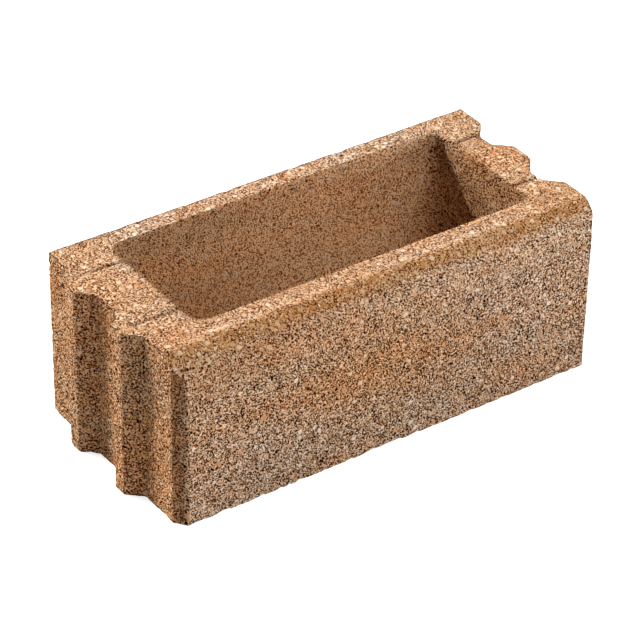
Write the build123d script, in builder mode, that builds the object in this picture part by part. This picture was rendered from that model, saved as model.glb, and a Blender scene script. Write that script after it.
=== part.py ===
"""Hollow concrete wall block, cast in one piece, with toothed and grooved ends that interlock.

Millimetres, +Z up. The block stands on its bottom bed at z = 0 and the middle of its box is at x = y = 0.
+X runs along the block from the toothed end to the grooved end, -Y is the bevelled front face.
"""
import os

from build123d import *

# Outside of the block, measured between the flat end faces, without the teeth.
length = 397.0
depth = 185.0
height = 150.0

# Walls around the cavity, measured at the top bed.
toothed_wall = 43.0
grooved_wall = 39.5
back_wall = 18.0
front_wall = 41.0
cavity_corner = 13.0
# What every wall gains in thickness from the top bed down to the bottom bed.
cavity_draft = 3.0

# One tooth of the toothed end: its back slope, blunt tip and front slope along the end face.
tooth_height = 12.5
tooth_back_slope = 17.0
tooth_tip = 13.0
tooth_front_slope = 12.0
tooth_tip_radius = 4.5
tooth_root_radius = 3.0
# The first tooth starts this far from the back face, and the second one repeats it at the pitch.
tooth_start = 29.0
tooth_pitch = 66.0
# The grooves are the teeth grown by the room that two neighbours need.
joint_room = 1.0
groove_floor_radius = 3.0
groove_lip_radius = 3.5

# Front face: the vertical corner bevels and the soft bevel along the top edge.
corner_bevel_end = 10.0
corner_bevel_face = 8.0
corner_bevel_radius = 6.0
top_bevel_run = 20.0
top_bevel_drop = 16.0
top_bevel_radius = 9.0
back_corner_radius = 2.0

# Break lines scored across the top of the two end walls, measured from the back face.
score_back = 41.5
score_front = 120.0
score_width = 4.5
score_depth = 3.0

# Places that follow from the sizes.
full_length = length + tooth_height
x_tip = -full_length / 2
x_toothed = x_tip + tooth_height
x_grooved = full_length / 2
x_floor = x_grooved - tooth_height - joint_room
y_back = depth / 2
y_front = -depth / 2
tooth_tops = [y_back - tooth_start, y_back - tooth_start - tooth_pitch]

# Toothed end, walked from the back to the front.
toothed_side = []
for y_tooth in tooth_tops:
    y_tip_back = y_tooth - tooth_back_slope
    y_tip_front = y_tip_back - tooth_tip
    y_root_front = y_tip_front - tooth_front_slope
    toothed_side.append((x_toothed, y_tooth))
    toothed_side.append((x_tip, y_tip_back))
    toothed_side.append((x_tip, y_tip_front))
    toothed_side.append((x_toothed, y_root_front))

# Grooved end, walked from the front to the back.
grooved_side = []
for y_tooth in reversed(tooth_tops):
    y_floor_back = y_tooth - tooth_back_slope + joint_room
    y_floor_front = y_tooth - tooth_back_slope - tooth_tip - joint_room
    y_lip_front = y_tooth - tooth_back_slope - tooth_tip - tooth_front_slope - joint_room
    grooved_side.append((x_grooved, y_lip_front))
    grooved_side.append((x_floor, y_floor_front))
    grooved_side.append((x_floor, y_floor_back))
    grooved_side.append((x_grooved, y_tooth + joint_room))

outline = [(x_toothed, y_back)]
outline.extend(toothed_side)
outline.append((x_toothed, y_front + corner_bevel_end))
outline.append((x_toothed + corner_bevel_face, y_front))
outline.append((x_grooved - corner_bevel_face, y_front))
outline.append((x_grooved, y_front + corner_bevel_end))
outline.extend(grooved_side)
outline.append((x_grooved, y_back))

# The cavity at the top bed.
cavity_left = x_toothed + toothed_wall
cavity_right = x_grooved - grooved_wall
cavity_back = y_back - back_wall
cavity_front = y_front + front_wall
cavity_x = (cavity_left + cavity_right) / 2
cavity_y = (cavity_back + cavity_front) / 2
cavity_length = cavity_right - cavity_left
cavity_depth = cavity_back - cavity_front

with BuildPart() as block:
    # Plan of the block with its teeth, grooves and front corner bevels, raised to full height.
    with BuildSketch() as plan:
        with BuildLine():
            Polyline(*outline, close=True)
        make_face()
        by_x = plan.vertices().group_by(Axis.X)
        tips = by_x[0]
        end_points = by_x[1].sort_by(Axis.Y)
        fillet(tips, tooth_tip_radius)
        fillet(end_points[1:-1], tooth_root_radius)
        floors = plan.vertices().filter_by(lambda v: abs(v.X - x_floor) < joint_room)
        fillet(floors, groove_floor_radius)
        lips = plan.vertices().filter_by(lambda v: abs(v.X - x_grooved) < joint_room).sort_by(Axis.Y)
        fillet(lips[1:-1], groove_lip_radius)
        corners = plan.vertices().group_by(Axis.Y)
        fillet(corners[0], corner_bevel_radius)
        fillet(corners[-1], back_corner_radius)
    extrude(amount=height)

    # Cross-section with the soft bevel along the top of the front face.
    with BuildSketch(Plane.YZ) as section:
        with BuildLine():
            Polyline(
                (y_front, 0),
                (y_back, 0),
                (y_back, height),
                (y_front + top_bevel_run, height),
                (y_front, height - top_bevel_drop),
                close=True,
            )
        make_face()
        # Inside the sketch, X is the depth and Y the height.
        upper_points = section.vertices().filter_by(lambda v: v.Y > height / 2)
        bevel_ends = upper_points.filter_by(lambda v: v.X < y_back / 2)
        fillet(bevel_ends, top_bevel_radius)
    extrude(amount=full_length, both=True, mode=Mode.INTERSECT)

    # Cavity from bed to bed, a little wider at the top where the core was drawn out.
    with BuildSketch(Plane.XY):
        with Locations((cavity_x, cavity_y)):
            RectangleRounded(
                cavity_length - cavity_draft * 2,
                cavity_depth - cavity_draft * 2,
                cavity_corner,
            )
    with BuildSketch(Plane.XY.offset(height)):
        with Locations((cavity_x, cavity_y)):
            RectangleRounded(cavity_length, cavity_depth, cavity_corner)
    loft(mode=Mode.SUBTRACT)

    # Break lines, V-shaped, across both end walls.
    with BuildSketch(Plane.YZ):
        for y_line in (y_back - score_back, y_back - score_front):
            with BuildLine():
                Polyline(
                    (y_line - score_width / 2, height),
                    (y_line + score_width / 2, height),
                    (y_line, height - score_depth),
                    close=True,
                )
            make_face()
    extrude(amount=full_length, both=True, mode=Mode.SUBTRACT)

block.part.label = "block"

os.makedirs("parts", exist_ok=True)
export_step(block.part, "parts/block.step")
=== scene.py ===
"""Looks of a hollow concrete wall block: one open-grained cast piece on a pale floor in soft studio light."""

import logging
from dataclasses import dataclass, field
from enum import Enum
from math import cos, radians, sin
from typing import Any

import bpy
import numpy as np
from mathutils import Matrix, Vector

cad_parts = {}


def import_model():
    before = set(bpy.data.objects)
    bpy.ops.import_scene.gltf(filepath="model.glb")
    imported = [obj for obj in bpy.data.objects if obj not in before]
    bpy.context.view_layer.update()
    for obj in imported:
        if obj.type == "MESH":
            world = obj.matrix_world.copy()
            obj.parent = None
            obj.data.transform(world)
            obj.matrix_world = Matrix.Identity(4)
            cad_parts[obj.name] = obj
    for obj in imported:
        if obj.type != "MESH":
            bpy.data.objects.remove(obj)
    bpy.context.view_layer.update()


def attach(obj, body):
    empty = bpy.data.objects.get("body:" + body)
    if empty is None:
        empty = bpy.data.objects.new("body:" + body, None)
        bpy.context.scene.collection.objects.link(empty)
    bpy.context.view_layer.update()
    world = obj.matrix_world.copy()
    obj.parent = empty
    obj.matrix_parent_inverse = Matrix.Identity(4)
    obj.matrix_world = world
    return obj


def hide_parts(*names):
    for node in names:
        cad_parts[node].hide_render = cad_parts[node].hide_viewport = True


LOG = logging.getLogger("block_scene")
MM = 0.001
WHITE = (1.0, 1.0, 1.0, 1.0)
# Random values along each side of the noise lattice, which repeats after them.
LATTICE_SIDE = 96
# Shortest length that a normal is divided by.
LEAST_LENGTH = 1e-9
# Node settings that occur often.
MULTIPLY = {"operation": "MULTIPLY"}
MULTIPLY_ADD = {"operation": "MULTIPLY_ADD"}
SUBTRACT = {"operation": "SUBTRACT"}
NEAREST_CELL = {"feature": "F1"}
MIX_COLOURS = {"data_type": "RGBA"}
TINT_COLOURS = {"data_type": "RGBA", "blend_type": "MULTIPLY"}

Span = tuple[float, float]
Triple = tuple[float, float, float]
Stops = tuple[tuple[float, str], ...]


class Stretch(Enum):
    """The eight stretches of the plan loop, walked from the toothed end round the front."""

    TOOTHED_END = 0
    FRONT_LEFT_CORNER = 1
    FRONT = 2
    FRONT_RIGHT_CORNER = 3
    GROOVED_END = 4
    BACK_RIGHT_CORNER = 5
    BACK = 6
    BACK_LEFT_CORNER = 7


class Share(Enum):
    """What the mesh tells the finish at each point, by the name of the attribute."""

    PRESSED = "pressed"
    HOLLOW = "hollow"
    WARM = "warm"
    GOLD = "gold"
    COARSE = "coarse"
    CREST = "crest"
    PAINTED_SHADE = "dusky"


class LampKind(Enum):
    """Blender's lamp types in use."""

    SUN = "SUN"
    SOFTBOX = "AREA"


class Rays(Enum):
    """Light Path outputs for rays that should meet the white backdrop."""

    CAMERA = "Is Camera Ray"
    GLOSSY = "Is Glossy Ray"
    TRANSMISSION = "Is Transmission Ray"


def linear_colour(hex_code: str) -> tuple[float, float, float, float]:
    """Turns an sRGB hex value into linear light.

    Args:
        hex_code: six hex digits with a leading hash.

    Returns:
        Linear red, green and blue, and an alpha of 1.
    """
    raw = np.array([int(hex_code[i:i + 2], 16) for i in (1, 3, 5)]) / 255.0
    lin = np.where(raw <= 0.04045, raw / 12.92, ((raw + 0.055) / 1.055) ** 2.4)
    return (float(lin[0]), float(lin[1]), float(lin[2]), 1.0)


def paint_stops(ramp: bpy.types.ColorRamp, stops: Stops) -> None:
    """Sets the colours of a ramp.

    Args:
        ramp: a new ramp, which has its two end stops only.
        stops: position and sRGB hex of each stop, the two end ones first.
    """
    ends = len(ramp.elements)
    for number, (position, colour) in enumerate(stops):
        stop = ramp.elements[number] if number < ends else ramp.elements.new(position)
        stop.position = position
        stop.color = linear_colour(colour)


def add_node(tree: bpy.types.NodeTree, kind: str, settings: dict[str, Any] | None = None,
             **sockets: Any) -> bpy.types.Node:
    """Adds one shader node, sets it up and links it.

    Args:
        tree: node tree that receives the node.
        kind: Blender's type name of the node.
        settings: attributes of the node itself, or the stops of its colour ramp.
        **sockets: input name, with underscores for spaces, or i followed by its index; a value or an output.

    Returns:
        The new node.
    """
    node = tree.nodes.new(kind)
    for name, value in (settings or {}).items():
        if name == "stops":
            paint_stops(node.color_ramp, value)
        else:
            setattr(node, name, value)
    for name, value in sockets.items():
        index = name[1:]
        numbered = name[0] == "i" and index.isdigit()
        socket = node.inputs[int(index)] if numbered else node.inputs[name.replace("_", " ")]
        if isinstance(value, bpy.types.NodeSocket):
            tree.links.new(value, socket)
        else:
            socket.default_value = value
    return node


def lattice_noise(points: np.ndarray, cell: float, seed: int) -> np.ndarray:
    """Smooth noise: random values on a cubic lattice, blended with a smoothstep between the eight around a point.

    Args:
        points: array of positions, last axis x, y, z.
        cell: lattice spacing in the units of the points.
        seed: seed of the random values.

    Returns:
        Noise from -1 to 1 at each point.
    """
    table = np.random.default_rng(seed).uniform(-1.0, 1.0, (LATTICE_SIDE, LATTICE_SIDE, LATTICE_SIDE))
    scaled = points / cell
    base = np.floor(scaled).astype(int)
    part = scaled - base
    part = part * part * (3.0 - 2.0 * part)
    corners = np.stack(np.meshgrid([0, 1], [0, 1], [0, 1], indexing="ij"), axis=-1).reshape(8, 3)
    index = (base[..., None, :] + corners) % LATTICE_SIDE
    weight = np.where(corners == 1, part[..., None, :], 1.0 - part[..., None, :]).prod(axis=-1)
    return (table[index[..., 0], index[..., 1], index[..., 2]] * weight).sum(axis=-1)


def rise(values: np.ndarray, span: Span) -> np.ndarray:
    """Share that runs straight from 0 at the first value of a span to 1 at its second, and is level outside it."""
    start, full = span
    return np.clip((values - start) / (full - start), 0.0, 1.0)


def stepped(knots: list[float], spacing: float) -> np.ndarray:
    """Values that run through all knots in order, evenly divided between them into steps of about the spacing.

    Args:
        knots: values that must occur, monotone.
        spacing: largest step.

    Returns:
        The values, with the last knot left out.
    """
    runs = [np.linspace(a, b, max(1, int(np.ceil(abs(b - a) / spacing))), endpoint=False)
            for a, b in zip(knots[:-1], knots[1:])]
    return np.concatenate(runs)


@dataclass(frozen=True)
class ConcreteFinish:
    """Open-grained cast concrete of pigmented sand and fine chippings, pressed in a steel mould and left bare.

    It gives the eye rounded grains in cream, peach, ochre and grey with deep pores between them that are darkened
    with painted shade, soft orange and grey clouds, and no gloss. Ranges are in cell sizes or noise values, from none
    to full.
    """

    # Grains, and the larger chippings among them.
    grain_mm: float = 1.35
    warp_mm: float = 0.6
    warp_pace: float = 0.7
    chipping_mm: float = 4.6
    chipping_edge: Span = (0.50, 0.40)
    chipping_share: float = 0.08
    coarse_share: float = 0.22
    speck_mm: float = 0.8
    speck_range: Span = (0.36, 0.64)
    speck_pull: float = 0.16
    # Gaps between the grains, and pores.
    gap_range: Span = (0.52, 1.02)
    pore_mm: float = 1.6
    pore_range: Span = (0.655, 0.72)
    swarm_mm: float = 9.0
    swarm_pull: float = 0.24
    press_pull: float = 0.035
    press_calm: float = 0.17
    # Clouds of the mix, drawn out along the block.
    cloud_mm: float = 60.0
    cloud_place: Triple = (0.37, 0.06, 0.1)
    cloud_stretch: Triple = (0.45, 0.8, 1.5)
    # Fine relief, as shares of the bump's height.
    bump_mm: float = 0.7
    dome: float = 0.7
    speck_lift: float = 0.3
    chipping_lift: float = 0.6
    gap_drop: float = 0.8
    roughness: float = 0.95
    specular: float = 0.0
    # Colours of the places that differ, and how far they go: slurry, a painted highlight, warm and gold tints, and a
    # tint of painted shade.
    plain: str = "#EDD4B8"
    plain_share: float = 0.9
    # Painted highlight along the top of the bevel: its pale colour and its share.
    crest_highlight: str = "#FBF3E8"
    crest_highlight_share: float = 0.4
    warm_tint: str = "#FFEED7"
    gold_tint: str = "#DABD86"
    gold_least: float = 0.3
    # Tint of the painted shade.
    painted_shade_tint: str = "#C8BCAE"
    # Colour ramps, the two end stops first.
    grains: Stops = (
        (0.0, "#BA9072"), (1.0, "#ECE1D4"), (0.3, "#CAA687"), (0.55, "#D4B79A"), (0.8, "#DFCAB5"))
    chippings: Stops = (
        (0.0, "#B88E6A"), (1.0, "#DED6CC"), (0.35, "#D2A87F"), (0.7, "#DBCAB7"))
    clouds: Stops = (
        (0.36, "#F8F7F5"), (0.64, "#FFECDA"), (0.5, "#FBF3EB"))
    # Painted shade of the gaps and pores: none on a grain, then dark brown, then black in a deep pore.
    painted_gap_shade: Stops = (
        (0.35, "#FFFFFF"), (1.0, "#1A0A03"), (0.56, "#EACDAD"), (0.73, "#935E33"), (0.87, "#351706"))


class ConcreteNodes:
    """Node material of the open-grained concrete, on Object coordinates in metres and the shares of the mesh."""

    def __init__(self, finish: ConcreteFinish) -> None:
        """Starts the material with the patterns that its colour and its relief both read.

        Args:
            finish: sizes and colours of the concrete.
        """
        self.finish = finish
        self.material = bpy.data.materials.new("open_grained_concrete")
        self.material.use_nodes = True
        self.tree = tree = self.material.node_tree
        self.place = add_node(tree, "ShaderNodeTexCoord").outputs["Object"]
        self.shares = {share: add_node(tree, "ShaderNodeAttribute", {"attribute_name": share.value}).outputs["Fac"]
                       for share in Share}
        # A little warp bends the straight cell borders into uneven grains.
        pace = 1.0 / (finish.grain_mm * MM)
        stir = add_node(tree, "ShaderNodeTexNoise", Vector=self.place, Scale=pace * finish.warp_pace, Detail=1.0)
        self.moved = add_node(tree, "ShaderNodeVectorMath", MULTIPLY_ADD, i0=stir.outputs["Color"],
                              i1=(finish.warp_mm * MM,) * 3, i2=self.place).outputs[0]
        self.grain = add_node(tree, "ShaderNodeTexVoronoi", NEAREST_CELL, Vector=self.moved, Scale=pace)
        self.stone = add_node(tree, "ShaderNodeTexVoronoi", NEAREST_CELL, Vector=self.moved,
                              Scale=1.0 / (finish.chipping_mm * MM))
        self.speck = add_node(tree, "ShaderNodeTexNoise", Vector=self.place, Scale=1.0 / (finish.speck_mm * MM),
                              Detail=2.0).outputs[0]
        # Each grain and each chipping draws three chances.
        self.grain_chance = add_node(tree, "ShaderNodeSeparateColor", Color=self.grain.outputs["Color"]).outputs
        self.stone_chance = add_node(tree, "ShaderNodeSeparateColor", Color=self.stone.outputs["Color"]).outputs
        self.chipping = self.chipping_mask()
        self.gap = self.gap_depth()

    def chipping_mask(self) -> bpy.types.NodeSocket:
        """Chippings: a few of the larger cells, more where the mix is coarse, kept only near their middle.

        Returns:
            A socket that is 1 on a chipping and 0 between them.
        """
        f, tree = self.finish, self.tree
        likely = add_node(tree, "ShaderNodeMath", MULTIPLY_ADD, i0=self.shares[Share.COARSE], i1=f.coarse_share,
                          i2=f.chipping_share).outputs[0]
        picked = add_node(tree, "ShaderNodeMath", {"operation": "LESS_THAN"}, i0=self.stone_chance[0],
                          i1=likely).outputs[0]
        return add_node(tree, "ShaderNodeMapRange", {"interpolation_type": "SMOOTHSTEP"},
                        Value=self.stone.outputs["Distance"], From_Min=f.chipping_edge[0],
                        From_Max=f.chipping_edge[1], To_Max=picked).outputs[0]

    def gap_depth(self) -> bpy.types.NodeSocket:
        """Gaps far from the middles of the grains and pores of their own, in swarms, fewer where the mix was pressed.

        Returns:
            A socket that runs from 0 on a grain to 1 in the depth of a gap.
        """
        f, tree = self.finish, self.tree
        pressed = self.shares[Share.PRESSED]
        swarm = add_node(tree, "ShaderNodeTexNoise", Vector=self.place, Scale=1.0 / (f.swarm_mm * MM), Detail=3.0,
                         Roughness=0.65).outputs[0]
        tight = add_node(tree, "ShaderNodeMath", MULTIPLY, i0=pressed, i1=-f.press_pull).outputs[0]
        loose = add_node(tree, "ShaderNodeMath", MULTIPLY_ADD, i0=swarm, i1=f.swarm_pull, i2=tight).outputs[0]
        pore = add_node(tree, "ShaderNodeTexVoronoi", NEAREST_CELL, Vector=self.moved, Scale=1.0 / (f.pore_mm * MM))
        hole = add_node(tree, "ShaderNodeMath", SUBTRACT, i0=1.0, i1=pore.outputs["Distance"]).outputs[0]
        kinds = []
        for depth, (least, most) in ((self.grain.outputs["Distance"], f.gap_range), (hole, f.pore_range)):
            raised = add_node(tree, "ShaderNodeMath", {"operation": "ADD"}, i0=depth, i1=loose).outputs[0]
            kinds.append(add_node(tree, "ShaderNodeMapRange", Value=raised, From_Min=least, From_Max=most).outputs[0])
        deepest = add_node(tree, "ShaderNodeMath", {"operation": "MAXIMUM"}, i0=kinds[0], i1=kinds[1]).outputs[0]
        clear = add_node(tree, "ShaderNodeMath", SUBTRACT, i0=1.0, i1=self.chipping).outputs[0]
        between = add_node(tree, "ShaderNodeMath", MULTIPLY, i0=deepest, i1=clear).outputs[0]
        # Pores in pressed faces are shallow, so their relief is lower and their painted shade stays brown instead of
        # black.
        limit = add_node(tree, "ShaderNodeMapRange", Value=pressed, To_Min=1.0, To_Max=1.0 - f.press_calm).outputs[0]
        return add_node(tree, "ShaderNodeMath", {"operation": "MINIMUM"}, i0=between, i1=limit).outputs[0]

    def colour(self) -> bpy.types.NodeSocket:
        """Colour of the grain or chipping itself, with the cavity's slurry and a painted highlight on the bevel's top,
        times its specks, the clouds, the tints of the places, painted shade among them, and the painted shade of the
        gaps.

        Returns:
            The colour's socket.
        """
        f, tree, shares = self.finish, self.tree, self.shares
        grains = add_node(tree, "ShaderNodeValToRGB", {"stops": f.grains}, Fac=self.grain_chance[0]).outputs[0]
        chippings = add_node(tree, "ShaderNodeValToRGB", {"stops": f.chippings}, Fac=self.stone_chance[1]).outputs[0]
        # Cement slurry on the cavity walls evens out the grains' own colours; more of it deeper down paints the walls
        # paler there, as painted light.
        slurry_and_painted_light = add_node(tree, "ShaderNodeMath", MULTIPLY, i0=shares[Share.HOLLOW], i1=f.plain_share).outputs[0]
        grains = add_node(tree, "ShaderNodeMix", MIX_COLOURS, i0=slurry_and_painted_light, i6=grains,
                          i7=linear_colour(f.plain)).outputs[2]
        colour = add_node(tree, "ShaderNodeMix", MIX_COLOURS, i0=self.chipping, i6=grains, i7=chippings).outputs[2]
        # The painted highlight on the bevel's top mixes the colour towards a pale one.
        painted_highlight = add_node(tree, "ShaderNodeMath", MULTIPLY, i0=shares[Share.CREST], i1=f.crest_highlight_share).outputs[0]
        colour = add_node(tree, "ShaderNodeMix", MIX_COLOURS, i0=painted_highlight, i6=colour,
                          i7=linear_colour(f.crest_highlight)).outputs[2]
        level = add_node(tree, "ShaderNodeMapRange", Value=self.speck, From_Min=f.speck_range[0],
                         From_Max=f.speck_range[1], To_Min=1.0 - f.speck_pull, To_Max=1.0 + f.speck_pull).outputs[0]
        colour = add_node(tree, "ShaderNodeVectorMath", {"operation": "SCALE"}, i0=colour, Scale=level).outputs[0]
        # Clouds run along the block, as the mix was filled in layers.
        layers = add_node(tree, "ShaderNodeMapping", {"vector_type": "POINT"}, Vector=self.place,
                          Location=f.cloud_place, Scale=f.cloud_stretch).outputs[0]
        cloud = add_node(tree, "ShaderNodeTexNoise", Vector=layers, Scale=1.0 / (f.cloud_mm * MM), Detail=4.0,
                         Roughness=0.62).outputs[0]
        clouds = add_node(tree, "ShaderNodeValToRGB", {"stops": f.clouds}, Fac=cloud).outputs[0]
        # Gold grains and chippings stand among plain ones on the bevel.
        chance = add_node(tree, "ShaderNodeMix", {"data_type": "FLOAT"}, i0=self.chipping, i2=self.grain_chance[1],
                          i3=self.stone_chance[2]).outputs[0]
        golden = add_node(tree, "ShaderNodeMapRange", Value=chance, To_Min=f.gold_least).outputs[0]
        gold = add_node(tree, "ShaderNodeMath", MULTIPLY, i0=shares[Share.GOLD], i1=golden).outputs[0]
        # The gaps and pores are darkened with painted shade.
        painted_gap_shade = add_node(tree, "ShaderNodeValToRGB", {"stops": f.painted_gap_shade}, Fac=self.gap).outputs[0]
        # The painted shade tint darkens the scored lines, a front corner, the flat between the teeth and parts of the
        # cavity walls.
        for share, tint in ((1.0, clouds), (shares[Share.WARM], linear_colour(f.warm_tint)),
                            (gold, linear_colour(f.gold_tint)), (shares[Share.PAINTED_SHADE], linear_colour(f.painted_shade_tint)),
                            (1.0, painted_gap_shade)):
            colour = add_node(tree, "ShaderNodeMix", TINT_COLOURS, i0=share, i6=colour, i7=tint).outputs[2]
        return colour

    def height(self) -> bpy.types.NodeSocket:
        """Fine relief: grains stand out as rubbed domes, chippings stand higher, gaps fall in between.

        Returns:
            The height's socket.
        """
        f, tree = self.finish, self.tree
        rubbed = add_node(tree, "ShaderNodeMath", MULTIPLY, i0=self.speck, i1=f.speck_lift).outputs[0]
        dome = add_node(tree, "ShaderNodeMath", MULTIPLY_ADD, i0=self.grain.outputs["Distance"], i1=-f.dome,
                        i2=rubbed).outputs[0]
        lifted = add_node(tree, "ShaderNodeMath", MULTIPLY_ADD, i0=self.chipping, i1=f.chipping_lift,
                          i2=dome).outputs[0]
        return add_node(tree, "ShaderNodeMath", MULTIPLY_ADD, i0=self.gap, i1=-f.gap_drop, i2=lifted).outputs[0]

    def build(self) -> bpy.types.Material:
        """Links colour and relief to the shader.

        Returns:
            The finished material.
        """
        shader = self.tree.nodes["Principled BSDF"]
        shader.inputs["Roughness"].default_value = self.finish.roughness
        shader.inputs["Specular IOR Level"].default_value = self.finish.specular
        bump = add_node(self.tree, "ShaderNodeBump", Strength=1.0, Distance=self.finish.bump_mm * MM,
                        Height=self.height())
        self.tree.links.new(self.colour(), shader.inputs["Base Color"])
        self.tree.links.new(bump.outputs[0], shader.inputs["Normal"])
        return self.material


@dataclass(frozen=True)
class MixPlaces:
    """Where the mix differs over the block and where light and shade are painted on it, in millimetres, and how much.

    A span holds the place where a share begins and the place where it is full. Spans named for depth count from
    the front face, those named for x, y or z are in the shared frame.
    """

    # Top bed behind the bevel, and the pressed strip along the top of the front.
    bed_depth: Span = (21.0, 24.0)
    bevel_foot_depth: Span = (8.0, 12.0)
    strip_z: Span = (105.0, 120.0)
    # Gold grains on the bevel and a few on the bed next to it, and coarser mix on both.
    gold_depth: Span = (26.0, 20.0)
    bed_gold_depth: Span = (52.0, 42.0)
    bed_gold: float = 0.25
    bed_coarse: float = 0.8
    # Painted highlight along the top of the bevel: its middle and half width.
    crest_depth: float = 25.5
    crest_half: float = 2.4
    # Warm mix at the two ends, in the cavity, in one cloud across the front and in the left of the strip.
    ends_x: Span = (140.0, 170.0)
    behind_front_depth: Span = (2.0, 8.0)
    band_middle: Span = (-8.0, 84.0)
    band_half: Span = (68.0, 34.0)
    warm_strip_x: Span = (100.0, -20.0)
    warm_bed: float = 0.15
    warm_bed_ends: float = 0.6
    warm_ends: float = 0.9
    warm_hollow: float = 0.75
    warm_strip: float = 0.35
    # Faces that the mould pressed tight, against a bed of 1.
    press_gold: float = 1.6
    press_strip: float = 0.7
    press_hollow: float = 1.3
    # Cavity: its wall at the grooved end, and where its walls are painted paler below the rim, as painted light.
    end_wall_x: Span = (155.0, 163.0)
    deep_z: Span = (135.0, 105.0)
    rim_hollow: float = 0.5
    # Painted shade: scored lines, front left corner bevel, flat between the teeth and cavity walls, less towards the
    # back of the grooved end wall; the left of the strip is darkened with the same tint.
    corner_x: Span = (-183.0, -187.0)
    corner_depth: Span = (12.0, 9.0)
    valley_x: Span = (-186.0, -190.0)
    valley_y: float = 9.5
    valley_half: Span = (16.0, 12.0)
    strip_darkening_x: Span = (40.0, -120.0)
    shade_cavity_left_x: Span = (60.0, -60.0)
    shade_under_rim_x: Span = (130.0, 70.0)
    end_shade_eased_y: Span = (25.0, 50.0)
    shade_in_scores: float = 0.65
    shade_on_corner: float = 0.6
    shade_in_valley: float = 0.3
    strip_darkening: float = 0.25
    shade_cavity_left: float = 0.36
    shade_under_rim: float = 0.3
    shade_end_wall: float = 0.8
    end_shade_eased: float = 0.45


@dataclass(frozen=True)
class CastRelief:
    """Coarse relief of the cast faces: width and depth of its forms in millimetres, and noise that opens them."""

    wave_mm: float = 28.0
    wave_depth: float = 0.25
    lump_mm: float = 6.0
    lump_depth: float = 0.3
    grain_mm: float = 2.6
    grain_depth: float = 0.4
    pore_mm: float = 4.2
    pore_depth: float = 1.3
    pore_least: float = 0.45
    press_calm: float = 0.6
    arris_reach: float = 1.6
    arris_depth: float = 0.35
    chip_mm: float = 9.0
    chip_depth: float = 1.6
    chip_least: float = 0.1


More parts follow.
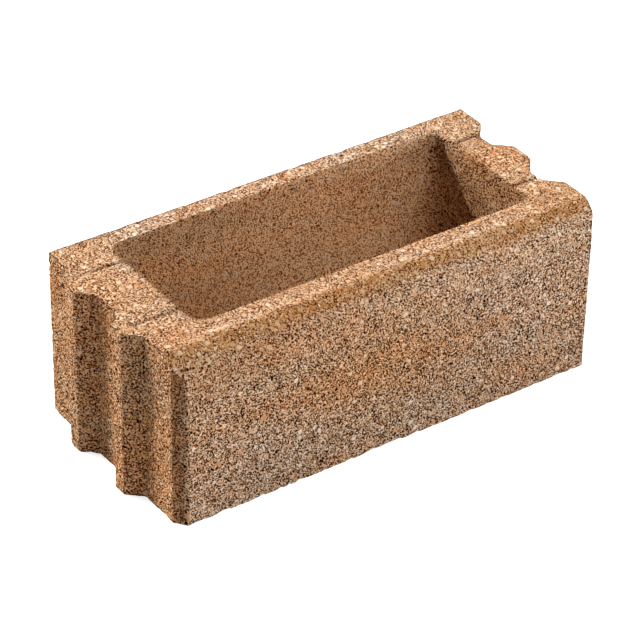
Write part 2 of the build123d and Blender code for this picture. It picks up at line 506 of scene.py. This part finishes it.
@dataclass
class HollowBlock:
    """The block itself, in millimetres in the shared frame.

    The surface is one closed grid: one parameter walks round the plan, the other walks up the outer wall,
    over the top bed, down the cavity wall and back under the bottom bed.
    """

    finish: ConcreteFinish = field(default_factory=ConcreteFinish)
    places: MixPlaces = field(default_factory=MixPlaces)
    relief: CastRelief = field(default_factory=CastRelief)
    length: float = 397.0
    depth: float = 185.0
    height: float = 150.0
    toothed_wall: float = 43.0
    grooved_wall: float = 39.5
    back_wall: float = 18.0
    front_wall: float = 41.0
    cavity_corner: float = 13.0
    cavity_draft: float = 3.0
    tooth_height: float = 12.5
    tooth_back_slope: float = 17.0
    tooth_tip: float = 13.0
    tooth_front_slope: float = 12.0
    tooth_start: float = 29.0
    tooth_pitch: float = 66.0
    joint_room: float = 1.0
    corner_bevel_end: float = 10.0
    corner_bevel_face: float = 8.0
    top_bevel_run: float = 20.0
    top_bevel_drop: float = 16.0
    top_bevel_radius: float = 9.0
    score_places: Span = (41.5, 120.0)
    score_width: float = 4.5
    score_depth: float = 3.0
    # Share of their depth that the scored lines keep at the outside, on the toothed and on the grooved end.
    score_runout: Span = (0.2, 0.8)
    # Fine steps in which the tooth profile is drawn, and how many of them its rounding runs over.
    profile_step: float = 0.25
    profile_window: int = 21
    # Spacing of the columns, closer on the toothed and grooved ends, and the rows of the grid.
    spacing: float = 1.9
    end_spacing: float = 1.805
    outer_rows: int = 79
    top_rows: int = 23
    top_crowding: float = 1.6
    inner_rows: int = 42
    bottom_rows: int = 7
    seed: int = 11

    def __post_init__(self) -> None:
        """Works out the places of faces from the sizes."""
        full = self.length + self.tooth_height
        self.x_left = self.tooth_height - full / 2
        self.x_right = full / 2
        self.y_back = self.depth / 2
        self.y_front = -self.depth / 2
        self.cavity_left = self.x_left + self.toothed_wall
        self.cavity_right = self.x_right - self.grooved_wall
        self.cavity_back = self.y_back - self.back_wall
        self.cavity_front = self.y_front + self.front_wall
        self.score_lines = [self.y_back - place for place in self.score_places]

    def tooth_profile(self, y: np.ndarray, room: float) -> np.ndarray:
        """Height of the teeth along the end: two blunt trapezia, rounded by a running mean.

        Args:
            y: depths along the end face.
            room: growth of the outline, zero for teeth and the joint room for grooves.

        Returns:
            Height above the flat of the end face at each depth.
        """
        fine = np.arange(self.y_front, self.y_back + self.profile_step, self.profile_step)
        shape = np.zeros_like(fine)
        top = self.tooth_height + room
        for number in range(2):
            start = self.y_back - self.tooth_start - number * self.tooth_pitch + room
            tip_back = start - self.tooth_back_slope
            tip_front = tip_back - self.tooth_tip - 2 * room
            foot = tip_front - self.tooth_front_slope
            shape = np.maximum(shape, np.interp(fine, [foot, tip_front, tip_back, start], [0, top, top, 0]))
        window = np.hanning(self.profile_window)
        padded = np.pad(shape, self.profile_window // 2, mode="edge")
        return np.interp(y, fine, np.convolve(padded, window / window.sum(), mode="valid"))

    def top_height(self, y: np.ndarray, scored: np.ndarray | float) -> np.ndarray:
        """Height of the top: level, with a bevel towards the front and the scored lines cut in.

        The bevel is a straight fall between two arcs of one radius, the upper one tangent to the bed and the
        lower one tangent to the front face. A scored line is a V across the end walls.

        Args:
            y: depths of the points.
            scored: share of the scored lines' depth that a point gets.

        Returns:
            Height of the top at each point.
        """
        inside = np.clip(y - self.y_front, 0.0, None)
        slope = np.arctan2(self.top_bevel_drop, self.top_bevel_run)
        radius = self.top_bevel_radius
        top_end = self.top_bevel_run + radius * np.tan(slope / 2)
        low_end = self.top_bevel_drop + radius * np.tan(np.pi / 4 - slope / 2)
        straight = self.top_bevel_drop - np.tan(slope) * inside
        upper = radius - np.sqrt(np.clip(radius ** 2 - (top_end - inside) ** 2, 0.0, None))
        lower = low_end - np.sqrt(np.clip(radius ** 2 - (radius - inside) ** 2, 0.0, None))
        fall = np.where(inside > top_end - radius * np.sin(slope), upper, straight)
        fall = np.where(inside < radius * (1.0 - np.sin(slope)), lower, fall)
        fall = np.where(inside > top_end, 0.0, fall)
        for line in self.score_lines:
            cut = np.clip(1.0 - np.abs(y - line) / (self.score_width / 2), 0.0, 1.0)
            fall = fall + self.score_depth * scored * cut
        return self.height - fall

    def plan_outside(self) -> dict[Stretch, np.ndarray]:
        """Walks round the outside of the plan.

        Returns:
            Rows of x, y for each stretch, each without the first point of the next one.
        """
        low, high = self.cavity_front + self.cavity_corner, self.cavity_back - self.cavity_corner
        left, right = self.cavity_left + self.cavity_corner, self.cavity_right - self.cavity_corner
        half = self.score_width / 2
        lines = sorted(self.score_lines, reverse=True)
        knots = [high] + [line + side * half for line in lines for side in (1, 0, -1)] + [low]
        end, face = self.corner_bevel_end, self.corner_bevel_face
        y_front, y_back = self.y_front, self.y_back
        corners: dict[Stretch, list[Span]] = {
            Stretch.FRONT_LEFT_CORNER: [(self.x_left, low), (self.x_left, y_front + end),
                                        (self.x_left + face, y_front), (left, y_front)],
            Stretch.FRONT: [(left, y_front), (right, y_front)],
            Stretch.FRONT_RIGHT_CORNER: [(right, y_front), (self.x_right - face, y_front),
                                         (self.x_right, y_front + end), (self.x_right, low)],
            Stretch.BACK_RIGHT_CORNER: [(self.x_right, high), (self.x_right, y_back), (right, y_back)],
            Stretch.BACK: [(right, y_back), (left, y_back)],
            Stretch.BACK_LEFT_CORNER: [(left, y_back), (self.x_left, y_back), (self.x_left, high)],
        }
        outside = {stretch: self.walk(np.array(points)) for stretch, points in corners.items()}
        down, up = stepped(knots, self.end_spacing), stepped(knots[::-1], self.end_spacing)
        outside[Stretch.TOOTHED_END] = np.stack([np.full_like(down, self.x_left), down], axis=1)
        outside[Stretch.GROOVED_END] = np.stack([np.full_like(up, self.x_right), up], axis=1)
        for points in outside.values():
            x, y = points.T
            points[:, 0] = x - np.where(x > 0.0, self.tooth_profile(y, self.joint_room), self.tooth_profile(y, 0.0))
        return outside

    def cavity_rim(self, outside: dict[Stretch, np.ndarray], inset: float) -> np.ndarray:
        """Walks round the cavity in step with the outside.

        A straight wall takes the share of the way that the outside has gone, a corner is a quarter circle.

        Args:
            outside: points of the outside by stretch.
            inset: how far the cavity's walls have come in.

        Returns:
            Rows of x, y for the whole loop.
        """
        r = self.cavity_corner
        low, high = self.cavity_front + r + inset, self.cavity_back - r - inset
        left, right = self.cavity_left + r + inset, self.cavity_right - r - inset
        turns = {
            Stretch.FRONT_LEFT_CORNER: (left, low, 180.0),
            Stretch.FRONT_RIGHT_CORNER: (right, low, 270.0),
            Stretch.BACK_RIGHT_CORNER: (right, high, 0.0),
            Stretch.BACK_LEFT_CORNER: (left, high, 90.0),
        }
        straights = {
            Stretch.TOOTHED_END: ((left - r, high), (left - r, low)),
            Stretch.FRONT: ((left, low - r), (right, low - r)),
            Stretch.GROOVED_END: ((right + r, low), (right + r, high)),
            Stretch.BACK: ((right, high + r), (left, high + r)),
        }
        rim = []
        for stretch in Stretch:
            points = outside[stretch]
            if stretch in turns:
                x, y, start = turns[stretch]
                angle = np.radians(start + 90.0 * np.arange(len(points)) / len(points))
                rim.append(np.stack([x + r * np.cos(angle), y + r * np.sin(angle)], axis=1))
            else:
                start, stop = (np.array(end) for end in straights[stretch])
                axis = int(np.argmax(np.abs(stop - start)))
                following = outside[Stretch((stretch.value + 1) % len(Stretch))]
                first, last = points[0, axis], following[0, axis]
                share = ((points[:, axis] - first) / (last - first))[:, None]
                rim.append(start * (1.0 - share) + stop * share)
        return np.concatenate(rim)

    def walk(self, corners: np.ndarray) -> np.ndarray:
        """Points at even steps along a short polyline, with every corner of it kept.

        Args:
            corners: rows of x, y.

        Returns:
            Points from the first corner up to, but without, the last.
        """
        steps = np.hypot(*(corners[1:] - corners[:-1]).T)
        reach = np.concatenate([[0.0], np.cumsum(steps)])
        places = stepped(list(reach), self.spacing)
        return np.stack([np.interp(places, reach, corners[:, 0]), np.interp(places, reach, corners[:, 1])], axis=1)

    def bare_grid(self) -> np.ndarray:
        """The smooth surface as a grid of rows and columns, closed both ways.

        Outer wall: plan point at a share of the local top height. Top bed: straight from the outside to the
        rim at the top height. Cavity wall: the rim moved inwards by the draft. Bottom bed: straight back.
        The scored lines are deepest at the rim and run out towards the outside, mostly on the toothed end.

        Returns:
            Points with axes row, column, xyz.
        """
        outside = self.plan_outside()
        outer = np.concatenate([outside[stretch] for stretch in Stretch])
        rim = self.cavity_rim(outside, 0.0)
        foot = self.cavity_rim(outside, self.cavity_draft)
        wall = np.linspace(0.0, 1.0, self.outer_rows)[:, None]
        runout = np.where(outer[:, 0] < 0.0, *self.score_runout)
        edge = self.top_height(outer[:, 1], runout)
        rows_outer = np.stack(np.broadcast_arrays(outer[:, 0], outer[:, 1], wall * edge), axis=-1)
        # Rows crowd towards the outer edge, where the front bevel turns over.
        across = ((np.arange(1, self.top_rows) / self.top_rows) ** self.top_crowding)[:, None, None]
        bed = outer * (1.0 - across) + rim * across
        scored = runout + (1.0 - runout) * across[..., 0]
        rows_top = np.concatenate([bed, self.top_height(bed[..., 1], scored)[..., None]], axis=-1)
        fall = np.linspace(0.0, 1.0, self.inner_rows)[:, None, None]
        cavity = rim * (1.0 - fall) + foot * fall
        lip = self.top_height(rim[:, 1], 1.0)
        rows_inner = np.concatenate([cavity, ((1.0 - fall[..., 0]) * lip)[..., None]], axis=-1)
        back = (np.arange(1, self.bottom_rows) / self.bottom_rows)[:, None, None]
        under = foot * (1.0 - back) + outer * back
        rows_bottom = np.concatenate([under, np.zeros(under.shape[:2] + (1,))], axis=-1)
        return np.concatenate([rows_outer, rows_top, rows_inner, rows_bottom])

    def row_shares(self, outer: float, top: float, inner: float, bottom: float) -> np.ndarray:
        """One value per row of the grid, for the outer wall, the top bed, the cavity wall and the bottom bed."""
        return np.concatenate([np.full(self.outer_rows, outer), np.full(self.top_rows - 1, top),
                               np.full(self.inner_rows, inner), np.full(self.bottom_rows - 1, bottom)])[:, None]

    def mix_shares(self, grid: np.ndarray) -> dict[Share, np.ndarray]:
        """How the mix differs from point to point, and where light and shade are painted: sums and products of
        straight ramps, and two bell curves.

        Args:
            grid: points of the smooth surface with axes row, column, xyz.

        Returns:
            Values with axes row, column for each share.
        """
        p = self.places
        x, y, z = np.moveaxis(grid, -1, 0)
        depth = y - self.y_front
        outer = np.broadcast_to(self.row_shares(1.0, 0.0, 0.0, 0.0), x.shape)
        top = np.broadcast_to(self.row_shares(0.0, 1.0, 0.0, 0.0), x.shape)
        hollow = np.broadcast_to(self.row_shares(0.0, 0.0, 1.0, 0.0), x.shape)
        past_foot = rise(depth, p.bevel_foot_depth)
        gold = top * rise(depth, p.gold_depth) * past_foot
        bed = top * rise(depth, p.bed_depth)
        strip = rise(z, p.strip_z) * (1.0 - past_foot)
        # The mix is warm at the two ends, in the cavity and in one cloud across the front.
        ends = rise(np.abs(x), p.ends_x)
        behind = rise(depth, p.behind_front_depth)
        band = np.exp(-((x - p.band_middle[0]) / p.band_half[0]) ** 2 - ((z - p.band_middle[1]) / p.band_half[1]) ** 2)
        warm = (bed * (p.warm_bed + p.warm_bed_ends * ends) + p.warm_ends * outer * ends * behind
                + outer * band * (1.0 - behind) + p.warm_hollow * hollow
                + p.warm_strip * strip * rise(x, p.warm_strip_x))
        # The mould pressed the top bed and the long cavity walls tight and left the front and the ends open.
        end_wall = rise(x, p.end_wall_x)
        pressed = bed + p.press_gold * gold + p.press_strip * strip + p.press_hollow * hollow * (1.0 - end_wall)
        # A thin painted highlight runs along the top of the bevel, on its arris.
        crest = top * np.exp(-((depth - p.crest_depth) / p.crest_half) ** 2)
        # Deep in the cavity more pale slurry colour is mixed in than under its rim, which paints light into the depth.
        deep = rise(z, p.deep_z)
        # Painted shade in the scored lines, on the front left corner bevel, on the flat between the teeth and on parts
        # of the cavity walls; the left of the pressed strip is darkened too.
        scored = np.clip((self.top_height(y, 0.0) - z) / self.score_depth, 0.0, 1.0)
        corner = outer * rise(x, p.corner_x) * rise(depth, p.corner_depth)
        valley = outer * rise(x, p.valley_x) * rise(np.abs(y - p.valley_y), p.valley_half)
        # Painted shade on the cavity walls: on the grooved end wall, less towards its back, towards the left, and
        # under the rim away from the grooved end.
        cavity = (end_wall * (p.shade_end_wall - p.end_shade_eased * rise(y, p.end_shade_eased_y))
                  + p.shade_cavity_left * rise(x, p.shade_cavity_left_x) + p.shade_under_rim * (1.0 - deep) * rise(x, p.shade_under_rim_x))
        dusky = (p.shade_in_scores * top * scored + p.shade_on_corner * corner + p.shade_in_valley * valley
                 + p.strip_darkening * strip * rise(x, p.strip_darkening_x) + hollow * cavity)
        return {
            Share.PRESSED: pressed,
            Share.HOLLOW: hollow * (p.rim_hollow + (1.0 - p.rim_hollow) * deep),
            Share.WARM: np.clip(warm, 0.0, 1.0),
            Share.GOLD: gold + p.bed_gold * bed * rise(depth, p.bed_gold_depth),
            Share.COARSE: gold + p.bed_coarse * bed,
            Share.CREST: crest,
            Share.PAINTED_SHADE: dusky,
        }

    def relief_depth(self, grid: np.ndarray, pressed: np.ndarray) -> np.ndarray:
        """Depth of the coarse relief below the smooth surface.

        It adds up slow waves, lumps of a few grains, grains and single open pores, each from smooth noise in
        space and all but the waves weaker where the mix was pressed, and a crumbled strip along the arrises that
        fades with the distance from them.

        Args:
            grid: points of the smooth surface with axes row, column, xyz.
            pressed: how tight the mix was pressed at each point.

        Returns:
            Depths in millimetres, with axes row, column.
        """
        r = self.relief
        sizes = (r.wave_mm, r.lump_mm, r.grain_mm, r.pore_mm, r.chip_mm)
        wave, lump, grain, pore, chip = (
            lattice_noise(grid, size, self.seed + number) for number, size in enumerate(sizes))
        wave, lump, grain = (0.5 + 0.5 * noise for noise in (wave, lump, grain))
        pore = np.clip(pore - r.pore_least, 0.0, 1.0) / (1.0 - r.pore_least)
        chip = np.clip(chip - r.chip_least, 0.0, 1.0)
        # The arrises: outer foot, outer top edge, rim and foot of the cavity.
        near = np.zeros(grid.shape[:2])
        for row in (0, self.outer_rows - 1, self.outer_rows + self.top_rows - 2, -self.bottom_rows):
            away = np.linalg.norm(grid - grid[row], axis=-1)
            near = np.maximum(near, np.exp(-away / r.arris_reach))
        soft = 1.0 - r.press_calm * np.clip(pressed, 0.0, 1.0)
        mix = r.lump_depth * lump + r.grain_depth * grain + r.pore_depth * pore
        return r.wave_depth * wave + soft * mix + near * (r.arris_depth + r.chip_depth * chip)

    def rough_grid(self) -> tuple[np.ndarray, dict[Share, np.ndarray]]:
        """The grid pushed in by the coarse relief against its normals, so that it only takes material away.

        Returns:
            Points with axes row, column, xyz, and the shares that the finish reads at each point.
        """
        grid = self.bare_grid()
        along = np.roll(grid, -1, axis=1) - np.roll(grid, 1, axis=1)
        up = np.roll(grid, -1, axis=0) - np.roll(grid, 1, axis=0)
        normal = np.cross(along, up)
        normal /= np.maximum(np.linalg.norm(normal, axis=-1, keepdims=True), LEAST_LENGTH)
        shares = self.mix_shares(grid)
        depth = self.relief_depth(grid, shares[Share.PRESSED])
        return grid - normal * depth[..., None], shares

    def build(self) -> bpy.types.Object:
        """Puts the grid into one closed mesh and dresses it.

        Returns:
            The block's object.
        """
        grid, shares = self.rough_grid()
        rows, columns = grid.shape[:2]
        index = np.arange(rows * columns).reshape(rows, columns)
        right, above = np.roll(index, -1, axis=1), np.roll(index, -1, axis=0)
        corner = np.roll(above, -1, axis=1)
        quads = np.stack([index, right, corner, above], axis=-1).reshape(-1, 4)
        mesh = bpy.data.meshes.new("block_concrete")
        mesh.vertices.add(rows * columns)
        mesh.vertices.foreach_set("co", (grid * MM).astype(np.float32).ravel())
        mesh.loops.add(quads.size)
        mesh.loops.foreach_set("vertex_index", quads.astype(np.int32).ravel())
        mesh.polygons.add(len(quads))
        mesh.polygons.foreach_set("loop_start", np.arange(0, quads.size, 4, dtype=np.int32))
        mesh.polygons.foreach_set("use_smooth", np.ones(len(quads), dtype=bool))
        mesh.update(calc_edges=True)
        mesh.validate()
        for share, values in shares.items():
            attribute = mesh.attributes.new(share.value, "FLOAT", "POINT")
            attribute.data.foreach_set("value", values.astype(np.float32).ravel())
        block = bpy.data.objects.new("block_concrete", mesh)
        bpy.context.scene.collection.objects.link(block)
        mesh.materials.append(ConcreteNodes(self.finish).build())
        return block


@dataclass(frozen=True)
class Lamp:
    """One lamp: a sun with its width in degrees, or a square softbox with its side in metres."""

    name: str
    kind: LampKind
    source: Triple
    strength: float
    spread: float


@dataclass
class Studio:
    """Pale floor, soft lamps and the camera of the photograph."""

    focal_px: float = 3000.0
    frame_px: float = 640.0
    sensor_mm: float = 36.0
    clip_far: float = 50.0
    azimuth: float = -35.470
    elevation: float = 34.114
    roll: float = 1.074
    distance: float = 2.3721
    aim: Triple = (0.0, 0.0, 0.075)
    aim_px: Span = (320.82, 311.48)
    lamps: tuple[Lamp, ...] = (
        Lamp("key_lamp", LampKind.SUN, (-0.46, 1.0, 1.03), 3.58, 4.0),
        Lamp("high_softbox", LampKind.SOFTBOX, (0.65, -1.72, 2.45), 52.0, 1.5),
        Lamp("low_softbox", LampKind.SOFTBOX, (2.21, -1.99, 0.42), 80.0, 1.5),
        Lamp("side_softbox", LampKind.SOFTBOX, (-1.15, 2.05, 1.10), 71.0, 1.2))
    sky: float = 0.05
    floor_half: float = 6.0
    floor_grey: str = "#DAD8D5"
    floor_glow: float = 0.80

    def axes(self) -> np.ndarray:
        """Rows right, up and back of the camera, from azimuth, elevation and roll."""
        az, el, roll = radians(self.azimuth), radians(self.elevation), radians(self.roll)
        back = np.array([sin(az) * cos(el), -cos(az) * cos(el), sin(el)])
        right = np.cross([0.0, 0.0, 1.0], back)
        right /= np.linalg.norm(right)
        up = np.cross(back, right)
        return np.stack([cos(roll) * right + sin(roll) * up, cos(roll) * up - sin(roll) * right, back])

    def camera(self) -> None:
        """Places the camera of the fitted view, turned so that the aim lands on its place in the frame."""
        right, up, back = self.axes()
        data = bpy.data.cameras.new("photo_camera")
        data.sensor_width = self.sensor_mm
        data.lens = self.focal_px * self.sensor_mm / self.frame_px
        data.clip_end = self.clip_far
        eye = np.array(self.aim) + back * self.distance
        pan = (self.aim_px[0] - self.frame_px / 2) / self.focal_px
        tilt = (self.aim_px[1] - self.frame_px / 2) / self.focal_px
        back = back + right * pan - up * tilt
        back /= np.linalg.norm(back)
        right = np.cross(up, back)
        right /= np.linalg.norm(right)
        up = np.cross(back, right)
        turn = Matrix([[right[i], up[i], back[i]] for i in range(3)])
        camera = bpy.data.objects.new("photo_camera", data)
        camera.matrix_world = Matrix.Translation(Vector(eye)) @ turn.to_4x4()
        bpy.context.scene.collection.objects.link(camera)
        bpy.context.scene.camera = camera

    def light(self, lamp: Lamp) -> None:
        """Adds one lamp that points at the block.

        Args:
            lamp: the lamp; its source is the place of a softbox, or the direction of a sun.
        """
        data = bpy.data.lights.new(lamp.name, lamp.kind.value)
        data.energy = lamp.strength
        if lamp.kind is LampKind.SUN:
            data.angle = radians(lamp.spread)
        else:
            data.shape = "SQUARE"
            data.size = lamp.spread
        stand = bpy.data.objects.new(lamp.name, data)
        stand.location = Vector(lamp.source)
        toward = Vector(self.aim) - Vector(lamp.source)
        stand.rotation_euler = toward.to_track_quat("-Z", "Y").to_euler()
        bpy.context.scene.collection.objects.link(stand)

    def backdrop_rays(self, tree: bpy.types.NodeTree) -> bpy.types.NodeSocket:
        """Largest of the Light Path outputs that should see plain white.

        Args:
            tree: node tree to add to.

        Returns:
            A socket that is 1 for those rays and 0 for the others.
        """
        path = add_node(tree, "ShaderNodeLightPath")
        seen = path.outputs[Rays.CAMERA.value]
        for ray in (Rays.GLOSSY, Rays.TRANSMISSION):
            seen = add_node(tree, "ShaderNodeMath", {"operation": "MAXIMUM"}, i0=seen,
                            i1=path.outputs[ray.value]).outputs[0]
        return seen

    def world(self) -> None:
        """Even white sky for the light, plain white for what the camera sees."""
        world = bpy.data.worlds.new("studio_sky")
        bpy.context.scene.world = world
        world.use_nodes = True
        tree = world.node_tree
        tree.nodes.clear()
        seen = self.backdrop_rays(tree)
        light = add_node(tree, "ShaderNodeBackground", Color=WHITE, Strength=self.sky)
        white = add_node(tree, "ShaderNodeBackground", Color=WHITE, Strength=1.0)
        mixed = add_node(tree, "ShaderNodeMixShader", i0=seen, i1=light.outputs[0], i2=white.outputs[0])
        output = add_node(tree, "ShaderNodeOutputWorld")
        tree.links.new(mixed.outputs[0], output.inputs[0])

    def floor(self) -> None:
        """A level floor that the camera sees as white paper with a faint shadow."""
        far = self.floor_half
        mesh = bpy.data.meshes.new("floor")
        mesh.from_pydata([(-far, -far, 0.0), (far, -far, 0.0), (far, far, 0.0), (-far, far, 0.0)], [], [(0, 1, 2, 3)])
        floor = bpy.data.objects.new("floor", mesh)
        bpy.context.scene.collection.objects.link(floor)
        material = bpy.data.materials.new("white_paper")
        material.use_nodes = True
        tree = material.node_tree
        tree.nodes.clear()
        seen = self.backdrop_rays(tree)
        paper = add_node(tree, "ShaderNodeBsdfDiffuse", Color=linear_colour(self.floor_grey))
        glow = add_node(tree, "ShaderNodeEmission", Color=WHITE, Strength=self.floor_glow)
        shown = add_node(tree, "ShaderNodeAddShader", i0=paper.outputs[0], i1=glow.outputs[0])
        mixed = add_node(tree, "ShaderNodeMixShader", i0=seen, i1=paper.outputs[0], i2=shown.outputs[0])
        output = add_node(tree, "ShaderNodeOutputMaterial")
        tree.links.new(mixed.outputs[0], output.inputs[0])
        mesh.materials.append(material)

    def build(self) -> None:
        """Sets up colour handling, sky, floor, lamps and camera."""
        bpy.context.scene.view_settings.view_transform = "Standard"
        self.world()
        self.floor()
        for lamp in self.lamps:
            self.light(lamp)
        self.camera()


def main() -> None:
    """Builds the studio and the block, and notes the block's number of faces."""
    logging.basicConfig(level=logging.INFO, format="%(name)s: %(message)s")
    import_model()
    Studio().build()
    block = HollowBlock().build()
    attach(block, "root")
    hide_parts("block")
    LOG.info("%s: %d faces", block.name, len(block.data.polygons))


if __name__ == "__main__":
    main()
